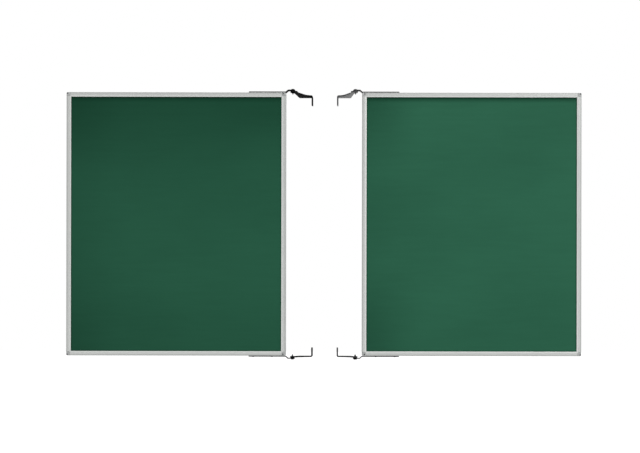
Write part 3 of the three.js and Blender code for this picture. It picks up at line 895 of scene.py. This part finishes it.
# %% Make the straps
strap_thickness, strap_half, strap_end, strap_edge = 0.004, 0.009, 0.200, 0.0005
crank_start, crank_end = 0.030, 0.020
inner_bend, outer_bend = 0.003, 0.006
plate_corner = 0.004                 # round at the corners of a flat plate's end
ear_lift, ear_radius = 0.009, half_depth
ear_top = ear_lift + strap_thickness
shoulder_radius, bush_wall = 0.004, 0.0018
strap_screw_places = (0.180, 0.094)  # from the pivot, the first screw furthest
strap_screw_radius = 0.002
to_pivot = shift(pivot_x, 0, edge_z)


def with_round_end(plate, axis, place):
    """Rounds the two corners of a flat plate's end, which lies at a place along an axis."""
    bm = bmesh.new()
    bm.from_mesh(plate)
    corners = [edge for edge in bm.edges
               if all(same(vertex.co[axis], place) for vertex in edge.verts) and faces_across(edge)]
    rounded(bm, "EDGES", corners, plate_corner, 6)
    return to_mesh(bm)


def strap_shape():
    slope = ear_lift / (crank_start - crank_end)
    lean = strap_thickness * ((1 + slope ** 2) ** 0.5 - 1) / slope
    side_view = [(0, ear_lift), (crank_end, ear_lift), (crank_start, 0), (strap_end, 0),
                 (strap_end, strap_thickness), (crank_start + lean, strap_thickness),
                 (crank_end + lean, ear_top), (0, ear_top)]
    bar = prism([(x, -strap_half, z) for x, z in side_view], (0, 2 * strap_half, 0),
                [(1, inner_bend), (2, outer_bend), (5, inner_bend), (6, outer_bend)])
    ear = rod(ear_radius, ear_lift, ear_top, 64)
    bore = rod(shoulder_radius + bush_wall + 2 * play, ear_lift - past, ear_top + past)
    holes = [moved(rod(strap_screw_radius + play, -past, strap_thickness + past, 24), shift(x=x))
             for x in reversed(strap_screw_places)]
    whole = combined(with_round_end(bar, 0, strap_end), "UNION", ear)
    return softened(cut(whole, bore, *holes), strap_edge)


strap = moved(strap_shape(), to_pivot)
# The coat per hinge paints light and shade: the right top strap takes a less shaded copy
strap_coats = dict.fromkeys(hinges, "matt") | {("right", "top"): "satin"}
strap_screw = pan_screw(strap_screw_radius, 0.004, 0.0016, 0.0109)
strap_screws = [moved(strap_screw.copy(), Matrix.Rotation(number, 4, "Z"), shift(x, 0, strap_thickness),
                      to_pivot) for number, x in enumerate(strap_screw_places, 1)]
for side, end in hinges:
    dress(f"{side}_{end}_strap", strap, coats[strap_coats[side, end]], turn_to(side, end))
    for number, shape in enumerate(strap_screws, 1):
        dress(f"{side}_{end}_strap_screw_{number}", shape, plated_steel, turn_to(side, end))
report("straps and screws", 12)

# %% [markdown]
# The pivot
#
# A shouldered bolt stands in the carrier and carries the ear on a flanged nylon bush. All three are
# turned. The bolt's domed head has a hexagon socket, and the nut is a hexagon whose corners are
# chamfered where a cone meets them.

# %% Turned pieces of the pivot
carrier_lift, carrier_thickness = 0.0015, 0.006
carrier_top = carrier_lift + carrier_thickness
bush_top, bush_flange, bush_edge = ear_top + play, 0.0095, 0.0003
head_bottom, head_height, head_radius, bolt_edge = bush_top + play, 0.0035, 0.008, 0.0002
thread_radius, thread_chamfer, thread_spare = 0.0025, 0.0007, 0.0045
nut_height, nut_flats, nut_chamfer = 0.004, 0.008, 0.0009
nut_flange, nut_flange_height = 0.0052, 0.001
flange_slope_in, flange_slope_up = 0.0006, 0.0004
socket_radius, socket_depth = 0.0026, 0.0022
dome = ((0.96, 0.0012), (0.82, 0.0005), (0.58, 0.0001), (0, 0))  # share of radius, depth below top


def hexagon(radius, low, high):
    bm = bmesh.new()
    bmesh.ops.create_circle(bm, cap_ends=True, radius=radius, segments=6)
    give_length(bm, (0, 0, high - low))
    bmesh.ops.translate(bm, verts=bm.verts[:], vec=(0, 0, low))
    return to_mesh(bm)


def bush_shape():
    inside, outside = shoulder_radius + play, shoulder_radius + play + bush_wall
    bottom = carrier_top + play
    ring = turned([(inside, bottom), (bush_flange, bottom), (bush_flange, ear_lift), (outside, ear_lift),
                   (outside, bush_top), (inside, bush_top), (inside, bottom)])
    return softened(ring, bush_edge)


def bolt_shape():
    tip, top = carrier_lift - nut_height - thread_spare, head_bottom + head_height
    profile = [(0, tip), (thread_radius - thread_chamfer, tip), (thread_radius, tip + thread_chamfer),
               (thread_radius, carrier_top), (shoulder_radius, carrier_top),
               (shoulder_radius, head_bottom), (head_radius, head_bottom),
               (head_radius, head_bottom + 0.4 * head_height)]
    profile += [(head_radius * out, top - down) for out, down in dome]
    socket = hexagon(socket_radius, top - socket_depth, top + past)
    return softened(cut(turned(profile), socket), bolt_edge)


print("hinge hardware stands", round(head_bottom + head_height, 4), "m above the frame's edge")

# %% Make the pivots
def nut_shape():
    low, corner = carrier_lift - nut_height, nut_flats / 3 ** 0.5
    cone = turned([(0, low), (nut_flats / 2, low), (corner, low + nut_chamfer), (corner, carrier_lift),
                   (0, carrier_lift)])
    body = combined(hexagon(corner, low, carrier_lift), "INTERSECT", cone)
    flange_low = carrier_lift - nut_flange_height
    flange = turned([(0, flange_low), (nut_flange - flange_slope_in, flange_low),
                     (nut_flange, flange_low + flange_slope_up), (nut_flange, carrier_lift),
                     (0, carrier_lift)])
    return cut(combined(body, "UNION", flange), rod(thread_radius + play, low - past, 2 * past))


# The two darker pivots take the shaded coat as painted shade
pivot_finishes = dict.fromkeys(hinges, plated_steel)
pivot_finishes |= dict.fromkeys([("left", "top"), ("right", "bottom")], coats["matt"])
dress_hinges("bush", moved(bush_shape(), to_pivot), dict.fromkeys(hinges, nylon))
dress_hinges("pivot_bolt", moved(bolt_shape(), to_pivot), pivot_finishes)
dress_hinges("pivot_nut", moved(nut_shape(), to_pivot), pivot_finishes)
report("pivots", 12)

# %% [markdown]
# The carrier
#
# The carrier is cut and bent from one plate. Seen from above, its outline runs round the pivot, back
# along the sweep of the arm and across the end, which is bent square into the flange that is screwed
# down. The outline is a polygon with a few very large rounds, which give the long sweep in few points.
# The flange is a second outline, seen from the front, with the round of the bend.

# %% Outlines of the carrier
reach, back_edge, flange_width, flange_height = 0.087, 0.098, 0.030, 0.0445
boss_radius, boss_offset = 0.013, 0.002
bend_round = 0.002                   # inside the bend
straight = 0.0005                    # of the flange's outline, before the bend
tail, bend = back_edge - flange_width, reach - carrier_thickness - bend_round - straight
foot = carrier_top - flange_height


def arm_shape():
    """The arm seen from above: x, y and round of each corner. Rounds at the boss just don't meet."""
    outer, turn = boss_radius - boss_offset, boss_radius - 0.0001
    corners = [(outer, boss_radius, turn), (-boss_offset, boss_radius, 0), (-0.0059, 0.0157, 0.012),
               (-0.0232, back_edge, 0.005), (-bend, back_edge, 0), (-bend, tail, 0),
               (-0.061, tail, 0.035), (-0.0213, 0.016, 0.032), (-0.0209, -0.0044, 0.0025),
               (-0.0058, -boss_radius, turn), (outer, -boss_radius, turn)]
    rounds = [(number, corner[2]) for number, corner in enumerate(corners) if corner[2]]
    return prism([(x, y, carrier_lift) for x, y, _ in corners], (0, 0, carrier_thickness), rounds, 16)


def flange_shape():
    inside = carrier_thickness - reach
    front_view = [(-bend, carrier_lift), (-bend, carrier_top), (-reach, carrier_top), (-reach, foot),
                  (inside, foot), (inside, carrier_lift)]
    rounds = [(2, carrier_thickness + bend_round), (5, bend_round)]
    flange = prism([(x, tail, z) for x, z in front_view], (0, flange_width, 0), rounds, 10)
    return with_round_end(flange, 2, foot)


print("flange from", round(foot, 4), "to", carrier_top, "m above the frame's edge")

# %% Make the carriers
flange_hole_radius, flange_hole_depths = 0.00275, (0.027, 0.009)  # below the frame's edge
carrier_edge = 0.0006


def carrier_shape():
    bolt_hole = rod(thread_radius + play, carrier_lift - past, carrier_top + past)
    screw_holes = [moved(rod(flange_hole_radius, -past, carrier_thickness + past), quarter("Y"),
                         shift(-reach, back_edge - flange_width / 2, -depth))
                   for depth in flange_hole_depths]
    whole = combined(arm_shape(), "UNION", flange_shape())
    return softened(cut(whole, bolt_hole, *screw_holes), carrier_edge)


# The coat per hinge paints light and shade: the left carriers take the shaded copy, the right ones lit
# copies
carrier_coats = dict.fromkeys(hinges, coats["matt"])
carrier_coats |= {("right", "top"): coats["gloss"], ("right", "bottom"): coats["satin"]}
dress_hinges("carrier", moved(carrier_shape(), to_pivot), carrier_coats)
report("carriers", 4)

# %% [markdown]
# Floor, light and camera
#
# The wings are shown as in a catalogue, on white. The floor is pale and far below, and both it and the
# world look white to the camera and in reflections, while the light on the object stays plain. A large
# soft lamp stands high in front on the right, a weak one low on the left, one behind for the back
# view, and a narrow one over the gap for the hinges. The camera looks level from below the middle, and
# a vertical shift keeps the edges parallel.

# %% Floor and world
def see_white(nodes, links):
    """One where the camera, a mirror or glass looks, and nought where light is gathered."""
    path = nodes.new("ShaderNodeLightPath")
    seen = maths(nodes, links, "MAXIMUM", path.outputs["Is Camera Ray"], path.outputs["Is Glossy Ray"])
    return maths(nodes, links, "MAXIMUM", seen, path.outputs["Is Transmission Ray"])


def make_world(fill):
    world = bpy.data.worlds.new("studio")
    bpy.context.scene.world = world
    world.use_nodes = True
    nodes, links = world.node_tree.nodes, world.node_tree.links
    background = nodes["Background"]
    background.inputs["Color"].default_value = (1, 1, 1, 1)
    level = spread(nodes, links, see_white(nodes, links), 0, 1, fill, 1)
    links.new(level, background.inputs["Strength"])


def make_floor(height, reach_out=30, glow_strength=0.6):
    bm = bmesh.new()
    bmesh.ops.create_grid(bm, x_segments=1, y_segments=1, size=reach_out)
    bmesh.ops.translate(bm, verts=bm.verts[:], vec=(0, 0, height))
    floor = bpy.data.objects.new("floor", to_mesh(bm))
    bpy.context.scene.collection.objects.link(floor)
    made, nodes, links, shader = new_material("pale_floor", roughness=0.9, specular_ior_level=0.0)
    shader.inputs["Base Color"].default_value = (0.9, 0.9, 0.9, 1)
    shader.inputs["Emission Color"].default_value = (1, 1, 1, 1)
    glow = product(nodes, links, see_white(nodes, links), glow_strength)
    links.new(glow, shader.inputs["Emission Strength"])
    floor.data.materials.append(made)


world_fill, floor_height = 0.6, -1.25
make_world(world_fill)
make_floor(floor_height)
print("the floor lies", round(-edge_z - floor_height, 3), "m below the wings")

# %% Lamps and camera
def lamp(name, place, target, width, height, watts):
    """A soft rectangular lamp, turned towards a target."""
    data = bpy.data.lights.new(name, "AREA")
    data.shape, data.size, data.size_y, data.energy = "RECTANGLE", width, height, watts
    holder = bpy.data.objects.new(name, data)
    holder.location = place
    holder.rotation_euler = (Vector(target) - Vector(place)).to_track_quat("-Z", "Y").to_euler()
    bpy.context.scene.collection.objects.link(holder)


lamp("key", (4.4, -3.3, 4.2), (0.5, 0, 0), 4.4, 4.4, 215)
lamp("fill", (-3.4, -4.2, 0.6), (-0.5, 0, 0), 4.0, 4.0, 12)
lamp("back", (-2.6, 3.8, 3.8), (0, 0, 0), 5.0, 5.0, 90)
lamp("top", (0, -0.6, 3.0), (0, 0, 0), 3.0, 1.2, 30)

view = bpy.data.cameras.new("view")
view.lens, view.sensor_width, view.shift_x, view.shift_y = 50, 36, -0.0744, 0.1649
camera = bpy.data.objects.new("view", view)
camera.location, camera.rotation_euler = (0.2, -4.0573, -0.491), (pi / 2, radians(-0.1), 0)
print("camera", round(-camera.location.y, 2), "m in front of the hinges")
bpy.context.scene.collection.objects.link(camera)
bpy.context.scene.camera = camera
bpy.context.scene.view_settings.view_transform = "Standard"
